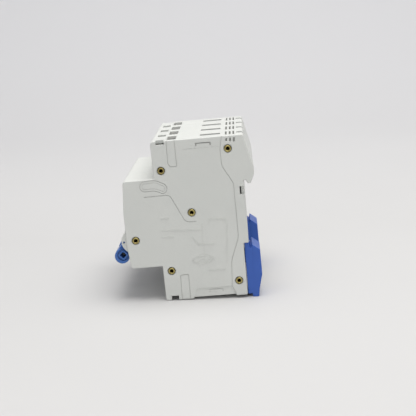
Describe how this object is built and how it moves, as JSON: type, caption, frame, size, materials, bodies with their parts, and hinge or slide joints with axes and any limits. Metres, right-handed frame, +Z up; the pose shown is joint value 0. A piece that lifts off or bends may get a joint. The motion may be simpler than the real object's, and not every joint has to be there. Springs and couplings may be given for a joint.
{
  "type": "residual current device",
  "caption": "Modular residual current device for a 35 mm rail, with linked toggles, cage clamp terminals, sliding rail clips and a test button.",
  "frame": {"origin": "middle of the rail seat: on the plane where the housing meets the rail, halfway across the modules, on the rail's centre line", "axes": "+X across the modules, -Y out of the front towards the toggles, +Y towards the rail, +Z up to the line terminals"},
  "size_m": [0.072, 0.074, 0.0838],
  "materials": {
    "housing": "satin moulded, light grey",
    "blue": "satin moulded, blue",
    "brass": "plain",
    "zinc_steel": "zinc plated",
    "copper": "plain copper",
    "black": "moulded",
    "grey_fibre": "pressed board",
    "winding_enamel": "enamelled wire, potted"
  },
  "bodies": {
    "housing": {"shell_1_right": "housing", "shell_1_left": "housing", "shell_2_right": "housing", "shell_2_left": "housing", "shell_3_right": "housing", "shell_3_left": "housing", "shell_4_right": "housing", "shell_4_left": "housing", "rivet_1": "brass", "rivet_2": "brass", "rivet_3": "brass", "rivet_4": "brass", "rivet_5": "brass", "rivet_6": "brass", "line_strap_1": "copper", "line_strap_2": "copper", "line_strap_3": "copper", "line_strap_4": "copper", "load_strap_1": "copper", "load_strap_2": "copper", "load_strap_3": "copper", "load_strap_4": "copper", "arc_chute_1": "grey_fibre", "arc_chute_2": "grey_fibre", "arc_chute_3": "grey_fibre", "transformer_core": "grey_fibre", "transformer_winding": "winding_enamel", "trip_relay": "zinc_steel", "test_resistor": "grey_fibre"},
    "handle": {"toggle_1": "blue", "toggle_2": "blue", "toggle_3": "blue", "toggle_4": "blue", "link_bar": "black"},
    "contacts": {"contact_arm_1": "copper", "contact_arm_2": "copper", "contact_arm_3": "copper", "contact_arm_4": "copper", "contact_shaft": "black"},
    "trip_bar": {"trip_bar": "black"},
    "relay_plunger": {"relay_plunger": "zinc_steel"},
    "test_button": {"test_button": "black"},
    "rail_clip_right": {"rail_clip_right": "blue"},
    "rail_clip_left": {"rail_clip_left": "blue"},
    "line_terminal_1_screw": {"line_terminal_1_screw": "zinc_steel"},
    "line_terminal_1_cage": {"line_terminal_1_cage": "zinc_steel"},
    "load_terminal_1_screw": {"load_terminal_1_screw": "zinc_steel"},
    "load_terminal_1_cage": {"load_terminal_1_cage": "zinc_steel"},
    "line_terminal_2_screw": {"line_terminal_2_screw": "zinc_steel"},
    "line_terminal_2_cage": {"line_terminal_2_cage": "zinc_steel"},
    "load_terminal_2_screw": {"load_terminal_2_screw": "zinc_steel"},
    "load_terminal_2_cage": {"load_terminal_2_cage": "zinc_steel"},
    "line_terminal_3_screw": {"line_terminal_3_screw": "zinc_steel"},
    "line_terminal_3_cage": {"line_terminal_3_cage": "zinc_steel"},
    "load_terminal_3_screw": {"load_terminal_3_screw": "zinc_steel"},
    "load_terminal_3_cage": {"load_terminal_3_cage": "zinc_steel"},
    "line_terminal_4_screw": {"line_terminal_4_screw": "zinc_steel"},
    "line_terminal_4_cage": {"line_terminal_4_cage": "zinc_steel"},
    "load_terminal_4_screw": {"load_terminal_4_screw": "zinc_steel"},
    "load_terminal_4_cage": {"load_terminal_4_cage": "zinc_steel"}
  },
  "joints": [
    {"name": "handle_turn", "type": "hinge", "parent": "housing", "child": "handle", "pos_m": [0, -0.0565, -0.0081], "axis": [-1, 0, 0], "range_deg": [0, 86]},
    {"name": "contacts_turn", "type": "hinge", "parent": "housing", "child": "contacts", "pos_m": [0, -0.0335, -0.006], "axis": [1, 0, 0], "range_deg": [0, 13.2]},
    {"name": "trip_turn", "type": "hinge", "parent": "housing", "child": "trip_bar", "pos_m": [0, -0.0425, 0.006], "axis": [-1, 0, 0], "range_deg": [0, 11.5]},
    {"name": "plunger_slide", "type": "slide", "parent": "housing", "child": "relay_plunger", "axis": [0, 1, 0], "range_m": [0, 0.0014], "stiffness_N_per_m": 80},
    {"name": "test_button_slide", "type": "slide", "parent": "housing", "child": "test_button", "axis": [0, 1, 0], "range_m": [0, 0.0018], "stiffness_N_per_m": 200},
    {"name": "clip_right_slide", "type": "slide", "parent": "housing", "child": "rail_clip_right", "axis": [0, 0, -1], "range_m": [0, 0.0035], "stiffness_N_per_m": 600},
    {"name": "clip_left_slide", "type": "slide", "parent": "housing", "child": "rail_clip_left", "axis": [0, 0, -1], "range_m": [0, 0.0035], "stiffness_N_per_m": 600},
    {"name": "line_terminal_1_screw_turn", "type": "hinge", "parent": "housing", "child": "line_terminal_1_screw", "pos_m": [0.027, -0.0443, 0.034], "axis": [0, 1, 0], "range_deg": [0, 1351]},
    {"name": "line_terminal_1_cage_slide", "type": "slide", "parent": "housing", "child": "line_terminal_1_cage", "axis": [0, -1, 0], "range_m": [0, 0.003]},
    {"name": "load_terminal_1_screw_turn", "type": "hinge", "parent": "housing", "child": "load_terminal_1_screw", "pos_m": [0.027, -0.0443, -0.034], "axis": [0, 1, 0], "range_deg": [0, 1351]},
    {"name": "load_terminal_1_cage_slide", "type": "slide", "parent": "housing", "child": "load_terminal_1_cage", "axis": [0, -1, 0], "range_m": [0, 0.003]},
    {"name": "line_terminal_2_screw_turn", "type": "hinge", "parent": "housing", "child": "line_terminal_2_screw", "pos_m": [0.009, -0.0443, 0.034], "axis": [0, 1, 0], "range_deg": [0, 1351]},
    {"name": "line_terminal_2_cage_slide", "type": "slide", "parent": "housing", "child": "line_terminal_2_cage", "axis": [0, -1, 0], "range_m": [0, 0.003]},
    {"name": "load_terminal_2_screw_turn", "type": "hinge", "parent": "housing", "child": "load_terminal_2_screw", "pos_m": [0.009, -0.0443, -0.034], "axis": [0, 1, 0], "range_deg": [0, 1351]},
    {"name": "load_terminal_2_cage_slide", "type": "slide", "parent": "housing", "child": "load_terminal_2_cage", "axis": [0, -1, 0], "range_m": [0, 0.003]},
    {"name": "line_terminal_3_screw_turn", "type": "hinge", "parent": "housing", "child": "line_terminal_3_screw", "pos_m": [-0.009, -0.0443, 0.034], "axis": [0, 1, 0], "range_deg": [0, 1351]},
    {"name": "line_terminal_3_cage_slide", "type": "slide", "parent": "housing", "child": "line_terminal_3_cage", "axis": [0, -1, 0], "range_m": [0, 0.003]},
    {"name": "load_terminal_3_screw_turn", "type": "hinge", "parent": "housing", "child": "load_terminal_3_screw", "pos_m": [-0.009, -0.0443, -0.034], "axis": [0, 1, 0], "range_deg": [0, 1351]},
    {"name": "load_terminal_3_cage_slide", "type": "slide", "parent": "housing", "child": "load_terminal_3_cage", "axis": [0, -1, 0], "range_m": [0, 0.003]},
    {"name": "line_terminal_4_screw_turn", "type": "hinge", "parent": "housing", "child": "line_terminal_4_screw", "pos_m": [-0.027, -0.0443, 0.034], "axis": [0, 1, 0], "range_deg": [0, 1351]},
    {"name": "line_terminal_4_cage_slide", "type": "slide", "parent": "housing", "child": "line_terminal_4_cage", "axis": [0, -1, 0], "range_m": [0, 0.003]},
    {"name": "load_terminal_4_screw_turn", "type": "hinge", "parent": "housing", "child": "load_terminal_4_screw", "pos_m": [-0.027, -0.0443, -0.034], "axis": [0, 1, 0], "range_deg": [0, 1351]},
    {"name": "load_terminal_4_cage_slide", "type": "slide", "parent": "housing", "child": "load_terminal_4_cage", "axis": [0, -1, 0], "range_m": [0, 0.003]}
  ],
  "couplings": [
    {"joint": "contacts_turn", "follows": "handle_turn", "ratio": 0.1534},
    {"joint": "trip_turn", "follows": "plunger_slide", "rad_per_m": 142},
    {"joint": "line_terminal_1_screw_turn", "follows": "line_terminal_1_cage_slide", "rad_per_m": 7854},
    {"joint": "load_terminal_1_screw_turn", "follows": "load_terminal_1_cage_slide", "rad_per_m": 7854},
    {"joint": "line_terminal_2_screw_turn", "follows": "line_terminal_2_cage_slide", "rad_per_m": 7854},
    {"joint": "load_terminal_2_screw_turn", "follows": "load_terminal_2_cage_slide", "rad_per_m": 7854},
    {"joint": "line_terminal_3_screw_turn", "follows": "line_terminal_3_cage_slide", "rad_per_m": 7854},
    {"joint": "load_terminal_3_screw_turn", "follows": "load_terminal_3_cage_slide", "rad_per_m": 7854},
    {"joint": "line_terminal_4_screw_turn", "follows": "line_terminal_4_cage_slide", "rad_per_m": 7854},
    {"joint": "load_terminal_4_screw_turn", "follows": "load_terminal_4_cage_slide", "rad_per_m": 7854}
  ]
}
